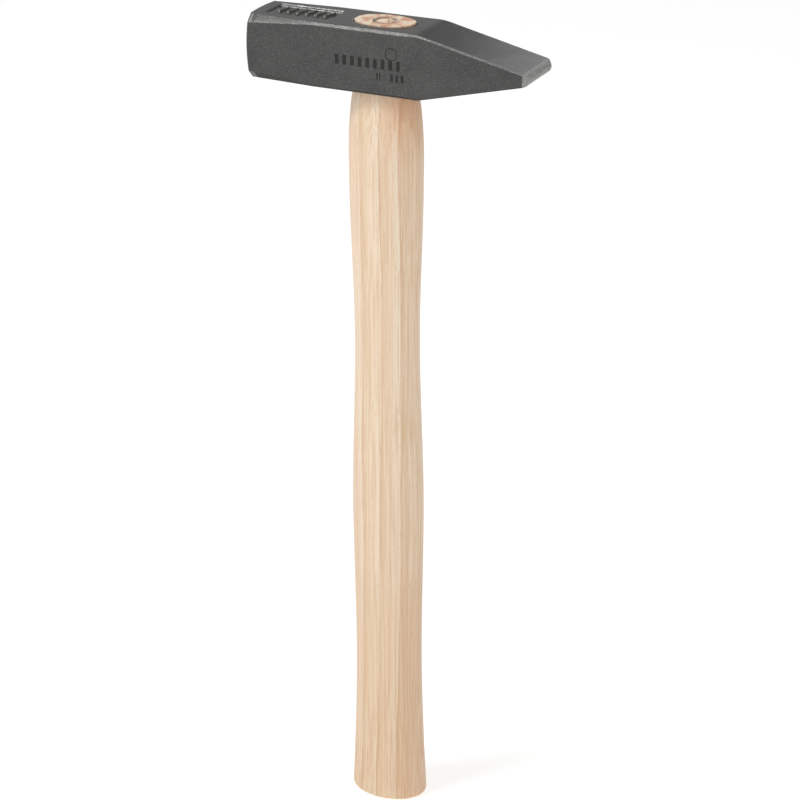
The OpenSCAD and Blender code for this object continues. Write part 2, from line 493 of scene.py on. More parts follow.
@dataclass(frozen=True)
class ForgedLacquer:
    """Satin dark lacquer over forged steel, with the nose and the striking face ground bare."""

    dark: Triple = (0.031, 0.030, 0.029)
    light: Triple = (0.066, 0.064, 0.062)
    speck: Triple = (0.17, 0.165, 0.16)
    smooth: Triple = (0.026, 0.0255, 0.025)
    near_black: Triple = (0.012, 0.012, 0.011)
    # the three colours below lighten the edges (part wear, part painted highlight) and darken them with
    # painted shade
    thin: Triple = (0.105, 0.103, 0.10)
    worn_highlight: Triple = (0.30, 0.295, 0.285)
    shade: Triple = (0.02, 0.02, 0.019)
    bare_low: Triple = (0.215, 0.212, 0.206)
    bare_high: Triple = (0.455, 0.449, 0.438)
    broad: Pattern = even(130, 3)
    grain: Pattern = even(1500, 3, 0.6)
    fine: Pattern = even(3800, 2, 0.6)
    specks: Pattern = even(2700, 2, 0.5, (810.0, 270.0, 540.0))
    patches: Pattern = even(420, 3)
    strokes: Pattern = Pattern((1200, 5200, 420), 3, 0.65)
    grit: Pattern = even(2300, 2)
    pit_rate: Triple = (900.0, 900.0, 900.0)
    cheek_skin: tuple[float, float] = (0.2, 1.2)
    slope_from: tuple[float, float] = (14.5, 18.5)
    peen_from: tuple[float, float] = (28.0, 50.0)
    stamp: CheekStamp = field(default_factory=CheekStamp)

    def build(self, name: str, middle_z: float, side_y: float) -> bpy.types.Material:
        """Builds the material.

        The top between the cheeks is calmer than the cheeks, and the slope down to the
        peen calmer still: there the grain gives way to a smooth satin coat.

        Args:
            name: name of the material.
            middle_z: height of the head's middle, in millimetres.
            side_y: y of the near cheek, in millimetres.

        Returns:
            The finished material.
        """
        coat = Coat(name)
        x, y, _ = coat.axes()
        near, far = ((side_y + d) * MM for d in self.cheek_skin)
        slope_start, slope_end = (at * MM for at in self.slope_from)
        peen_start, peen_end = (at * MM for at in self.peen_from)

        # lacquer, calm between the cheeks and specked on them
        level = y.span(near, far) * y.span(-near, -far)
        calm = level * x.span(slope_start, slope_end, 0.5, 0.85)
        broad, fine = coat.cloud(self.broad), coat.cloud(self.fine)
        grain = coat.cloud(self.grain) * (1.0 - calm) + calm * 0.5
        paint = coat.ramp(broad * 0.3 + grain * 0.7, (0.36, self.dark), (0.64, self.light))
        spots = coat.cloud(self.specks).span(0.58, 0.72) * calm.span(0.0, 1.0, 0.6, 0.0)
        paint = coat.blend(spots, paint, self.speck)
        # darker towards the peen on the cheeks
        paint = coat.blend(x.span(peen_start, peen_end, 0.0, 0.14), paint, self.near_black)
        paint = coat.blend(calm.span(0.45, 0.85, 0.0, 0.8), paint, self.smooth)
        marks = self.stamp.build(coat, middle_z, side_y)
        paint = coat.blend(marks * 0.72, paint, self.near_black)

        # lighter paint along the edges, speckled: part wear, part painted highlight; painted shade where the
        # edge value is below 0, on the lower edges and the near side of the face's rim
        wear = coat.value("edge")
        edge, under = wear.high(0.0), wear.span(0.0, -1.0)
        speck, patch = fine.span(0.44, 0.62), coat.cloud(self.patches).span(0.35, 0.7)
        paint = coat.blend(edge.span(0.0, 1.0, 0.0, 0.5), paint, self.thin)
        wear_and_highlight = edge * edge * (speck * 0.5 + speck * patch * 0.3)
        paint = coat.blend(wear_and_highlight, paint, self.worn_highlight)
        paint = coat.blend(under * 0.3, paint, self.shade)

        # ground steel, with fine strokes running across the nose and round the face
        strokes = coat.cloud(self.strokes)
        tone = strokes * 0.4 + coat.cloud(self.grit) * 0.6
        metal = coat.ramp(tone, (0.40, self.bare_low), (0.60, self.bare_high))
        limit = coat.value("ground") + grain.span(0.3, 0.7, -0.16, 0.16)
        bare = limit.span(-0.09, 0.09)

        pits = coat.cells(self.pit_rate).span(0.0, 0.35)
        forged = coat.dent(broad, 0.25, 0.35)
        forged = coat.dent(grain * 0.7 + fine * 0.3, 0.06, 0.55, forged)
        forged = coat.dent(pits, 0.02, 0.35, forged)
        satin = grain.span(0.3, 0.7, 0.26, 0.40) + marks * 0.25 - calm * 0.16
        gloss = marks.span(0.0, 1.0, 0.45, 0.2) - calm * calm * 0.43
        coat.dress(
            Base_Color=coat.blend(bare, paint, metal),
            Metallic=(bare * 0.6).high(wear_and_highlight * 0.5),
            Roughness=satin * (1.0 - bare) + strokes.span(0.3, 0.7, 0.56, 0.74) * bare,
            Normal=coat.blend(bare, forged, coat.dent(strokes, 0.012, 0.6)),
            Specular_IOR_Level=gloss * under.span(0.0, 1.0, 1.0, 0.07),
        )
        return coat.material


@dataclass(frozen=True)
class Flush:
    """A flushed spot on the wood's end: its middle and its radius, in millimetres."""

    x: float
    y: float
    radius: float


@dataclass(frozen=True)
class Ash:
    """Pale ash, cut so that the growth rings stand across X, sanded, with a thin clear finish."""

    cream: Triple = (0.84, 0.665, 0.49)
    straw: Triple = (0.80, 0.62, 0.44)
    tan: Triple = (0.72, 0.52, 0.34)
    pore: Triple = (0.50, 0.32, 0.18)
    rose: Triple = (0.81, 0.60, 0.44)
    # darker tones: towards the butt, and painted shade, partly tint, on the peen side and under the head
    butt_tone: Triple = (0.93, 0.875, 0.82)
    side_shade: Triple = (0.89, 0.80, 0.73)
    under_head_shade: Triple = (0.90, 0.73, 0.63)
    blush: Triple = (0.66, 0.345, 0.22)
    late: Triple = (0.68, 0.46, 0.29)
    pale: Triple = (0.87, 0.74, 0.58)
    split: Triple = (0.10, 0.055, 0.03)
    drift: Pattern = Pattern((20, 20, 3.2))
    wander: Pattern = Pattern((90, 90, 9))
    fibre: Pattern = Pattern((1500, 1500, 22), 3, 0.6)
    streak: Pattern = Pattern((420, 420, 5), 3, 0.55)
    hair: Pattern = Pattern((1500, 1500, 7), 3, 0.6, (2.0, 4.0, 0.0))
    tint: Pattern = Pattern((150, 150, 12), 2, 0.5, (5.0, 3.0, 1.0))
    fleck: Pattern = Pattern((1700, 1700, 420), 2, 0.6, (1.0, 7.0, 0.0))
    dashes: Pattern = Pattern((2600, 2600, 120), 2, 0.5, (3.0, 1.0, 2.0))
    blotch: Pattern = Pattern((210, 210, 1), 3, 0.6, (0.7, 0.2, 0.0))
    edging: Pattern = Pattern((520, 520, 1), 3, 0.6, (0.1, 0.4, 0.0))
    crush: Pattern = Pattern((1100, 1100, 60), 3, 0.6)
    dot_rate: Triple = (2400.0, 2400.0, 480.0)
    spots: tuple[Flush, ...] = (
        Flush(-6.3, -0.8, 2.4),
        Flush(6.0, 4.4, 2.6),
        Flush(5.1, -2.6, 1.9),
        Flush(0.4, 6.3, 1.2),
    )
    ring_pitch: float = 7.5
    ring_radius: float = 150.0
    ring_side: float = 4.0

    def year(self, coat: Coat) -> Signal:
        """Place within a year's ring, from 0 to 1.

        The growth rings are shells round a line far off along X: the distance to that
        line, over the pitch and wrapped, gives the place. It drifts slowly along the handle.

        Args:
            coat: the material in the making.

        Returns:
            The place.
        """
        x, y, _ = coat.axes()
        away, aside = x + self.ring_radius * MM, y + self.ring_side * MM
        reach = (away * away + aside * aside).root()
        years = reach / (self.ring_pitch * MM) + coat.cloud(self.drift) * 1.5
        return (years + coat.cloud(self.wander) * 0.35).wrap()

    def flank(self, coat: Coat, tone: Signal, fibre: Signal, pores: Signal) -> Signal:
        """Colour of the sanded sides: the rings' tone, long streaks and fibres, and pores.

        Args:
            coat: the material in the making.
            tone: colour of the growth rings.
            fibre: the long fibres.
            pores: share of open pores.

        Returns:
            The colour.
        """
        x, _, z = coat.axes()
        streak, hair, tint, fleck = (coat.cloud(p) for p in (self.streak, self.hair, self.tint, self.fleck))
        layers = (
            (streak, 0.50, 0.66, 0.8, self.straw),
            (streak, 0.48, 0.34, 0.55, self.tan),
            (hair, 0.50, 0.66, 0.75, self.tan),
            (hair, 0.48, 0.36, 0.6, self.pale),
            (fibre, 0.52, 0.68, 0.6, self.late),
            (tint, 0.45, 0.7, 0.5, self.rose),
            (fleck, 0.56, 0.72, 0.4, self.late),
        )
        wood = tone
        for signal, none_at, full_at, most, colour in layers:
            wood = coat.blend(signal.span(none_at, full_at, 0.0, most), wood, colour)

        # darker towards the butt; painted shade, partly a tan tint, along the peen side and under the head
        right = x + coat.cloud(self.wander) * 0.002
        side_shade = right.span(0.001, 0.008, 0.0, 0.3) + right.span(0.0094, 0.0099, 0.0, 0.5)
        side_shade = side_shade * z.span(0.20, 0.235, 0.0, 0.5).high(z.span(0.13, 0.05, 0.2, 0.65))
        neck = z.span(0.246, 0.2768) * x.span(0.001, 0.008, 0.05, 1.0)
        for share, colour in ((z.span(0.17, 0.0), self.butt_tone), (side_shade, self.side_shade), (neck, self.under_head_shade)):
            wood = coat.blend(share, wood, colour, Lay.STAIN)
        return coat.blend(pores * 0.6, wood, self.pore)

    def end(self, coat: Coat, tone: Signal, dots: Signal, crushed: Signal) -> Signal:
        """Colour of the sawn ends: flushed spots, pores end on, crushed fibres, dark splits, and painted
        shade in the gap along the ring.

        A spot's share follows the square of the distance to its middle over the square of
        its radius, with an uneven edge.

        Args:
            coat: the material in the making.
            tone: colour of the growth rings.
            dots: share of pores seen end on.
            crushed: unevenness of the crushed fibres.

        Returns:
            The colour.
        """
        x, y, _ = coat.axes()
        flush = coat.cloud(self.blotch).span(0.48, 0.66)
        edging = coat.cloud(self.edging).span(0.3, 0.7, -0.8, 0.8)
        for spot in self.spots:
            dx, dy = x - spot.x * MM, y - spot.y * MM
            apart = (dx * dx + dy * dy) / (spot.radius * MM) ** 2 + edging
            flush = flush.high(apart.span(1.25, 0.35))
        wood = coat.blend(0.75, tone, self.pale)
        wood = coat.blend(flush * 0.95, wood, self.blush)
        wood = coat.blend(dots * 0.45, wood, self.pore)
        wood = coat.blend(crushed.span(0.55, 0.75, 0.0, 0.4), wood, self.tan)
        # dark in the splits; painted shade in the gap along the ring
        return coat.blend(coat.value("gap"), wood, self.split)

    def build(self, name: str, top: float) -> bpy.types.Material:
        """Builds the material.

        Args:
            name: name of the material.
            top: height of the end of the wood, in millimetres.

        Returns:
            The finished material.
        """
        coat = Coat(name)
        _, _, z = coat.axes()
        year, fibre, crushed = self.year(coat), coat.cloud(self.fibre), coat.cloud(self.crush)
        stops = (0.0, self.pale), (0.03, self.late), (0.26, self.straw), (0.6, self.cream), (1.0, self.pale)
        tone = coat.ramp(year, *stops)
        pores = coat.cloud(self.dashes).span(0.60, 0.72) * year.span(0.32, 0.05, 0.25, 1.0)
        dots = coat.cells(self.dot_rate).span(0.30, 0.12)
        above, below = z.span((top - 0.55) * MM, (top - 0.35) * MM), z.span(0.5 * MM, 0.2 * MM)
        sawn = above.high(below)
        grain = coat.dent(pores, -0.02, 0.4, coat.dent(fibre, 0.02, 0.35))
        sawing = coat.dent(crushed + dots, 0.06, 0.6)
        flank, end = self.flank(coat, tone, fibre, pores), self.end(coat, tone, dots, crushed)
        coat.dress(
            Base_Color=coat.blend(sawn, flank, end),
            Roughness=fibre.span(0.3, 0.7, 0.42, 0.56) + sawn * 0.2,
            Normal=coat.blend(sawn, grain, sawing),
            Specular_IOR_Level=0.4,
            Subsurface_Weight=0.0,
        )
        return coat.material


@dataclass(frozen=True)
class DullSteel:
    """Plain dull steel, darkened, with a hammered top edge that carries a painted highlight."""

    dark: Triple = (0.10, 0.105, 0.095)
    light: Triple = (0.62, 0.60, 0.54)
    blotch: Pattern = even(700, 3, 0.6)
    fine: Pattern = even(4200, 2)

    def build(self, name: str, top: float) -> bpy.types.Material:
        """Builds the material.

        The hammered edge is bright, partly bare struck steel and partly a painted highlight: it fades down
        over half a millimetre, and is left dark on the side towards the striking face.

        Args:
            name: name of the material.
            top: height of the ring's top, in millimetres.

        Returns:
            The finished material.
        """
        coat = Coat(name)
        x, _, z = coat.axes()
        blotch = coat.cloud(self.blotch)
        tone = blotch * 0.6 + coat.cloud(self.fine) * 0.4
        skin = coat.ramp(tone, (0.35, self.dark), (0.75, self.light))
        # painted highlight, partly bare struck steel, along the top edge away from the striking face
        struck = z.span((top - 0.5) * MM, top * MM) * blotch.span(0.35, 0.6)
        struck = struck * x.span(-3.0 * MM, -1.6 * MM)
        coat.dress(
            Base_Color=coat.blend(struck, skin, self.light),
            Metallic=struck.span(0.0, 1.0, 0.9, 0.3),
            Roughness=blotch.span(0.3, 0.7, 0.35, 0.6),
            Normal=coat.dent(tone, 0.04, 0.5),
        )
        return coat.material


# ---------------------------------------------------------------------------
# the oval that the eye and the tenon share
# ---------------------------------------------------------------------------

SQUARE_ENDS = 1.04
END_CROWN = 0.1


def oval(turn: np.ndarray, half_x: Any, half_y: Any, square: Any = SQUARE_ENDS) -> np.ndarray:
    """Points of an oval whose two ends are cut nearly square.

    x is half_x times the cosine, stretched by square and held inside a slightly bulging
    end, 1 - END_CROWN (1 - |cos|); y is half_y times the sine.

    Args:
        turn: angles in radians.
        half_x: half the length along X.
        half_y: half the width along Y.
        square: stretch of the whole oval against the cut one.

    Returns:
        x and y of each point in the last axis.
    """
    lean = np.abs(np.cos(turn))
    along = np.minimum(square * lean, 1 - END_CROWN * (1 - lean))
    x = half_x * along * np.sign(np.cos(turn))
    return np.stack([x, half_y * np.sin(turn) + 0 * x], -1)


# ---------------------------------------------------------------------------
# the head
# ---------------------------------------------------------------------------


@dataclass
class TopPanel:
    """The sunken panel on top of the head and its two rows of slanted bars."""

    length: float = 25.2
    width: float = 12.4
    depth: float = 0.9
    draft: float = 0.6
    corner: float = 0.7
    shift: float = 1.2
    bar_w: float = 1.3
    bar_rise: float = 0.75
    bar_lean: float = 24.0
    bar_margin: float = 1.5
    bar_count: int = 6
    bar_draft: float = 0.3
    margin: float = 0.3
    # painted highlight, partly wear, on the far wall, the bar tops and along the rim
    wall_highlight: float = 1.31
    bar_highlight: float = 1.365
    rim_highlight: float = 0.75
    rim_line: float = 0.12
    rim_spread: float = 0.28

    def wall(self, x: np.ndarray, y: np.ndarray) -> np.ndarray:
        """Distance in from the panel's rim, negative outside."""
        return self.inside(x, y, self.length / 2, self.width / 2, self.corner)

    def height(self, x: np.ndarray, y: np.ndarray) -> np.ndarray:
        """Height of the head's top in and around the panel, 0 outside it.

        The floor lies at minus the depth where the distance in from the rounded rim passes
        the draft, and an eased wall joins it to the rim. A bar adds its rise where the
        distance in from its own outline passes its draft; the bars repeat along x.

        Args:
            x: distance from the panel's middle along X.
            y: distance from the panel's middle along Y.

        Returns:
            The height at each point.
        """
        wall = self.wall(x, y)
        sunk = -self.depth * ease(wall / self.draft)
        pitch = (self.length - 2 * (self.draft + self.bar_margin)) / self.bar_count
        bar_l = self.width / 2 - self.draft - self.bar_margin
        middle = (self.bar_count - 1) / 2
        number = np.clip(np.round(x / pitch + middle), 0, self.bar_count - 1) - middle
        row = np.where(y < 0, -1.0, 1.0)
        dx = x - number * pitch
        dy = y - row * (bar_l + self.bar_w / 2) / 2
        lean = radians(self.bar_lean) * row
        across = dx * np.cos(lean) - dy * np.sin(lean)
        along = dx * np.sin(lean) + dy * np.cos(lean)
        bar = self.inside(across, along, self.bar_w / 2 + 0.1, bar_l / 2 + 0.1, 0.35)
        return sunk + self.bar_rise * ease(bar / self.bar_draft) * ease(wall / self.draft)

    def wear_and_highlight(self, x: np.ndarray, y: np.ndarray, height: np.ndarray) -> np.ndarray:
        """How much painted highlight, partly wear, the far wall and the tops of the bars get.

        The far wall counts where the height is part of the way down; a bar counts by how
        far its height stands above the floor.

        Args:
            x: distance from the panel's middle along X.
            y: distance from the panel's middle along Y.
            height: height of the surface there.

        Returns:
            The edge value there, a little over 1 where it is brightest.
        """
        wall = self.wall(x, y)
        far = ease((y - self.width / 2 + 2 * self.draft) / 0.3) * (wall > 0) * (wall < self.draft)
        raised = (height + self.depth) / self.bar_rise
        bar = ease((raised - 0.25) / 0.5) * (wall > 2 * self.draft)
        return np.maximum(self.wall_highlight * far, self.bar_highlight * bar)

    @staticmethod
    def inside(x: np.ndarray, y: np.ndarray, half_x: float, half_y: float, corner: float) -> np.ndarray:
        """Distance in from the outline of a rectangle with round corners, negative outside.

        Args:
            x: first coordinate from the middle.
            y: second coordinate from the middle.
            half_x: half the length.
            half_y: half the width.
            corner: radius of the corners.

        Returns:
            The distance at each point.
        """
        over_x = np.abs(x) - half_x + corner
        over_y = np.abs(y) - half_y + corner
        outside = np.hypot(np.maximum(over_x, 0), np.maximum(over_y, 0))
        return corner - outside - np.minimum(np.maximum(over_x, over_y), 0)


@dataclass(frozen=True)
class EdgeWear:
    """How much lighter the head's edges are painted, 1 the most: part wear, part painted highlight. Below 0
    they are darker than the lacquer: painted shade.

    upper and lower go across a corner from the level side to the upright one; lower holds only painted shade.
    Past the eye the painted highlight on the upper edges brightens, and it fades again towards the nose.
    """

    upper: tuple[float, ...] = (0.3, 0.6, 0.8, 0.8, 0.75, 0.72, 0.8, 1.05, 1.2, 1.0, 0.4)
    lower: tuple[float, ...] = (-1.0,) * 8 + (-0.6, -0.3, 0.0)
    peen_highlight_gain: float = 2.4
    peen_from: float = 16.0
    peen_over: float = 5.0
    fade_from: float = 34.0
    fade_over: float = 16.0
    fade_left: float = 0.35
    dip: float = 0.3
    dip_at: float = 15.0
    dip_half: float = 2.5
    face_near_shade: float = -0.8
    face_far: float = 0.35
    face_from: float = -7.5
    face_over: float = 2.0
    bare_start: float = 0.15
    bare_fall: float = 1.6

    def along(self, x: np.ndarray) -> np.ndarray:
        """Factor on the upper edges' painted highlight and wear: smooth steps up and down, less a bell curve
        at the break.
        """
        rise = self.peen_highlight_gain * ease((x - self.peen_from) / self.peen_over)
        fade = mix(1.0, self.fade_left, ease((x - self.fade_from) / self.fade_over))
        bell = np.exp(-(((x - self.dip_at) / self.dip_half) ** 2))
        return 1 + rise * fade - self.dip * bell

    def round_face(self, y: np.ndarray) -> np.ndarray:
        """Edge value round the striking face, by a smooth step from painted shade on the near side to lighter
        paint on the far one.
        """
        return mix(self.face_near_shade, self.face_far, ease((y - self.face_from) / self.face_over))

    def bare_round(self, turn: float) -> np.ndarray:
        """Ground value over the face's rounded edge, falling with the angle turned."""
        return np.full(1, self.bare_start - self.bare_fall * turn)


@dataclass
class HammerHead:
    """The forged head: crowned striking face, chamfered body, eye and wedge-shaped peen."""

    face_flat_r: float = 6.0
    crown_r: float = 58.0
    face_edge_r: float = 0.45
    chamfer: float = 2.9
    chamfer_end: float = -10.0
    chamfer_left: float = 0.95
    peen_chamfer: float = 0.32
    edge_r: float = 0.42
    taper_reach: float = 16.4
    top_ease: float = 2.1
    bottom_ease: float = 0.5
    nose_t: float = 4.5
    nose_rise: float = 0.2
    nose_round: float = 1.9
    nose_bevel: float = 1.8
    eye_l: float = 21.4
    eye_w: float = 13.2
    eye_flare: float = 1.0
    eye_rim_r: float = 0.35
    eye_block: float = 12.8
    level_from: float = -44.5
    rim_back: float = 1.2
    tip_turn: float = 86.0
    fine_columns: int = 85
    fine_half: float = 6.5
    peen_edge_from: float = 12.0
    peen_edge_over: float = 9.0
    panel: TopPanel = field(default_factory=TopPanel)
    wear: EdgeWear = field(default_factory=EdgeWear)
    finish: ForgedLacquer = field(default_factory=ForgedLacquer)

    def __post_init__(self) -> None:
        """Reads the outer sizes from the plain solid's box and works out what follows from them."""
        low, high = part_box("hammer_head")
        self.face_x, self.nose_x = low.x / MM, high.x / MM
        self.half_w = (high.y - low.y) / 2 / MM
        self.half_h = (high.z - low.z) / 2 / MM
        self.middle_z = (high.z + low.z) / 2 / MM
        self.nose_back = self.nose_x - self.nose_round
        self.nose_r = ((self.nose_t / 2) ** 2 + self.nose_round**2) / (2 * self.nose_round)
        self.nose_middle = self.nose_x - self.nose_r
        mouth = self.eye_l + self.eye_flare
        drop = self.crown_drop(self.half_h)
        self.panel_x = -(-self.face_x - drop + mouth / 2) / 2 - self.panel.shift

    def crown_drop(self, r: Any) -> Any:
        """How far the crown has fallen away at radius r: (r^2 - flat^2) / (2 crown), not below 0."""
        return np.maximum(r * r - self.face_flat_r**2, 0) / (2 * self.crown_r)

    def top_at(self, x: np.ndarray) -> np.ndarray:
        """Height of the top line above the head's middle.

        Level to the break, then a parabola over the eased stretch, then a straight slope
        down to the nose, and last the nose's own arc.

        Args:
            x: stations along the head.

        Returns:
            The heights.
        """
        slope = (self.half_h - self.nose_rise - self.nose_t / 2) / (self.nose_back - self.taper_reach)
        return np.minimum(self.eased_fall(x, slope, self.top_ease), self.nose_arc(x, 1))

    def bottom_at(self, x: np.ndarray) -> np.ndarray:
        """Height of the bottom line: as the top line, turned over, with a crisper break."""
        slope = (self.half_h + self.nose_rise - self.nose_t / 2) / (self.nose_back - self.taper_reach)
        return np.maximum(-self.eased_fall(x, slope, self.bottom_ease), self.nose_arc(x, -1))

    def eased_fall(self, x: np.ndarray, slope: float, half: float) -> np.ndarray:
        """A level line that turns into a slope over a parabola of the given half length."""
        past = np.clip((x - self.taper_reach + half) / (2 * half), 0, 1)
        straight = np.maximum(x - self.taper_reach - half, 0)
        return self.half_h - slope * half * past**2 - slope * straight

    def nose_arc(self, x: np.ndarray, side: int) -> np.ndarray:
        """Height of the nose's circle at x, above (side 1) or below (side -1) its middle."""
        reach = np.clip(x - self.nose_middle, 0, self.nose_r)
        height = np.sqrt(self.nose_r**2 - reach**2)
        far = np.where(x < self.nose_back - 0.01, 100.0, 0.0)
        return self.nose_rise + side * (height + far)

    def chamfer_at(self, x: np.ndarray) -> np.ndarray:
        """Width of the chamfers: falling evenly from the face, then narrow, then the peen's."""
        rate = self.chamfer / (self.chamfer_end - self.face_x)
        forged = np.maximum(rate * (self.chamfer_end - x), self.chamfer_left)
        return mix(forged, self.peen_chamfer, ease((x - self.peen_edge_from) / self.peen_edge_over))

    def loops(self, x: np.ndarray) -> tuple[np.ndarray, np.ndarray]:
        """Sections across the head at stations x.

        Each section runs along the top from -Y to +Y, down the far side, back along the
        bottom and up the near side. A corner is a 45 degree arc, a straight chamfer and
        another 45 degree arc, tangent to the sides they join.

        Args:
            x: stations along the head.

        Returns:
            y and z of every point, stations by points by 2, and how much of an edge each
            point of the section is.
        """
        top, bottom = self.top_at(x), self.bottom_at(x)
        half_w = self.half_w - np.maximum(x - self.nose_x + self.nose_bevel, 0)
        room = (top - bottom) / 2
        r = np.minimum(self.edge_r, 0.3 * room)
        c = np.minimum(self.chamfer_at(x), 0.7 * room)
        c = np.maximum(c, 0.62 * r)
        tangent = r * tan(pi / 8)

        def corner(y_side: int, z_edge: np.ndarray, z_side: int) -> np.ndarray:
            """Points of one corner, from the level edge to the upright one.

            Args:
                y_side: 1 on the far side, -1 on the near one.
                z_edge: height of the level side.
                z_side: 1 at the top, -1 at the bottom.

            Returns:
                y and z of the points, stations by points by 2.
            """
            a = np.linspace(0, pi / 4, 4)
            cy1 = (half_w - c - tangent)[:, None] + r[:, None] * np.sin(a)
            cz1 = r[:, None] * (1 - np.cos(a))
            cy2 = (half_w - r)[:, None] + r[:, None] * np.sin(a + pi / 4)
            cz2 = (c + tangent)[:, None] - r[:, None] * np.cos(a + pi / 4)
            g = np.array([0.12, 0.5, 0.88])
            cym = mix(cy1[:, -1:], cy2[:, :1], g)
            czm = mix(cz1[:, -1:], cz2[:, :1], g)
            y = np.concatenate([cy1, cym, cy2], 1) * y_side
            z = z_edge[:, None] - z_side * np.concatenate([cz1, czm, cz2], 1)
            return np.stack([y, z], -1)

        # edge values: painted highlight and wear on the upper corners, painted shade on the lower ones
        upper, lower = np.array(self.wear.upper), np.array(self.wear.lower)
        flat = half_w - c - tangent
        fine = np.linspace(-1, 1, self.fine_columns)
        band = np.array([0.94, 0.8, 0.5, 0.2])
        inner = np.minimum(self.fine_half, 0.8 * flat)[:, None]
        outer = inner + (flat[:, None] - inner) * band[::-1]
        across = np.concatenate([-outer[:, ::-1], inner * fine, outer], 1)
        top_row = np.stack([across, np.repeat(top[:, None], across.shape[1], 1)], -1)
        bottom_row = np.stack([-across, np.repeat(bottom[:, None], across.shape[1], 1)], -1)
        g = np.array([0.012, 0.04, 0.12, 0.3, 0.5, 0.7, 0.88, 0.96, 0.988])
        high, low = top - c - tangent, bottom + c + tangent
        down = mix(high[:, None], low[:, None], g)
        side = np.repeat(half_w[:, None], len(g), 1)
        far_side = np.stack([side, down], -1)
        near_side = np.stack([-side, down[:, ::-1]], -1)
        level = np.zeros(across.shape[1])
        parts = [
            (top_row, level),
            (corner(1, top, 1), upper),
            (far_side, np.zeros(len(g))),
            (corner(1, bottom, -1)[:, ::-1], lower[::-1]),
            (bottom_row, level),
            (corner(-1, bottom, -1), lower),
            (near_side, np.zeros(len(g))),
            (corner(-1, top, 1)[:, ::-1], upper[::-1]),
        ]
        self.top_columns = np.arange(-1, across.shape[1] + 1)
        start = across.shape[1] + 2 * len(upper) + len(g)
        self.bottom_columns = np.arange(start - 1, start + across.shape[1] + 1)
        return np.concatenate([p for p, _ in parts], 1), np.concatenate([e for _, e in parts])

    def stations(self) -> np.ndarray:
        """Stations of the level sections, close together where the shape changes."""
        turn = asin((self.nose_back - self.nose_middle) / self.nose_r)
        nose = self.nose_middle + self.nose_r * np.sin(np.linspace(turn, radians(self.tip_turn), 14))
        reach = self.panel.length / 2 + self.panel.margin
        left, right = self.panel_x - reach, self.panel_x + reach
        body = chain(
            (self.level_from, left, 4),
            (left, right, 120),
            (right, -self.eye_block, 8),
            (-self.eye_block, self.eye_block, 56),
            (self.eye_block, self.taper_reach - self.top_ease, 3),
            (self.taper_reach - self.top_ease, self.taper_reach + self.top_ease, 14),
            (self.taper_reach + self.top_ease, self.nose_back - 1, 22),
            (self.nose_back - 1, self.nose_back - 0.1, 4),
        )
        return np.concatenate([body, nose])

    def skin(self) -> tuple[np.ndarray, np.ndarray, np.ndarray]:
        """The whole outside as one grid, from the middle of the face to the tip of the nose.

        Rows on the face are the first section drawn in towards the middle, set back by
        the crown; then a quarter round leads over the face's edge, two rows lead from the
        curved rim to the first level station, and the stations follow.

        Returns:
            The points (rows by columns by 3), and the edge and ground values of each.
        """
        x = self.stations()
        sections, edge = self.loops(np.concatenate([[self.face_x + self.rim_back], x]))
        first, rest = sections[0], sections[1:]
        radius = np.hypot(first[:, 0], first[:, 1])
        rim = self.face_edge_r
        rows: list[np.ndarray] = []
        edges: list[np.ndarray] = []
        ground: list[np.ndarray] = []

        def ring(inset: np.ndarray, x_back: np.ndarray, sharp: np.ndarray, bare: np.ndarray) -> None:
            """Adds a row: the first section drawn in by inset, at x_back."""
            share = 1 - inset / radius
            rows.append(np.stack([x_back, first[:, 0] * share, first[:, 1] * share], -1))
            edges.append(np.broadcast_to(sharp, radius.shape).copy())
            ground.append(np.broadcast_to(bare, radius.shape).copy())

        for s in np.concatenate([np.linspace(0.06, 0.9, 13), [0.96]]):
            r = (radius - rim) * s
            ring(radius - r, self.face_x + self.crown_drop(r), np.zeros(1), np.ones(1))
        back = self.face_x + self.crown_drop(radius - rim)
        rim_edge = self.wear.round_face(first[:, 1])
        for a in np.linspace(0, pi / 2, 6):
            inset = rim * (1 - sin(a))
            ring(inset + 0 * radius, back + rim * (1 - cos(a)), rim_edge, self.wear.bare_round(a))
        for s, sharp in ((0.08, 0.1), (0.3, 0.0), (0.65, 0.0)):
            ring(0 * radius, mix(back + rim, x[0], s), np.maximum(edge, sharp), np.full(1, -1.0))
        rows_level = np.concatenate([np.repeat(x[:, None, None], rest.shape[1], 1), rest], -1)
        top = np.arange(len(self.top_columns) - 2)
        px, py = rows_level[:, top, 0] - self.panel_x, rows_level[:, top, 1]
        height = self.panel.height(px, py)
        rows_level[:, top, 2] += height
        # edge values: painted highlight and wear on the upper edges, and painted highlight, partly wear,
        # along the panel's rim, its far wall and its bar tops
        edge_level = edge * np.where(edge > 0, self.wear.along(x)[:, None], 1.0)
        line = (self.panel.wall(px, py) - self.panel.rim_line) / self.panel.rim_spread
        rim_glow = self.panel.rim_highlight * np.exp(-(line**2))
        edge_level[:, top] = np.maximum(edge_level[:, top], rim_glow)
        edge_level[:, top] = np.maximum(edge_level[:, top], self.panel.wear_and_highlight(px, py, height))
        points = np.concatenate([np.array(rows), rows_level])
        points[..., 2] += self.middle_z
        bare = np.repeat(np.clip(x - self.nose_back, -1, 1)[:, None], rest.shape[1], 1)
        edge_all = np.concatenate([np.array(edges), edge_level])
        return points, edge_all, np.concatenate([np.array(ground), bare])

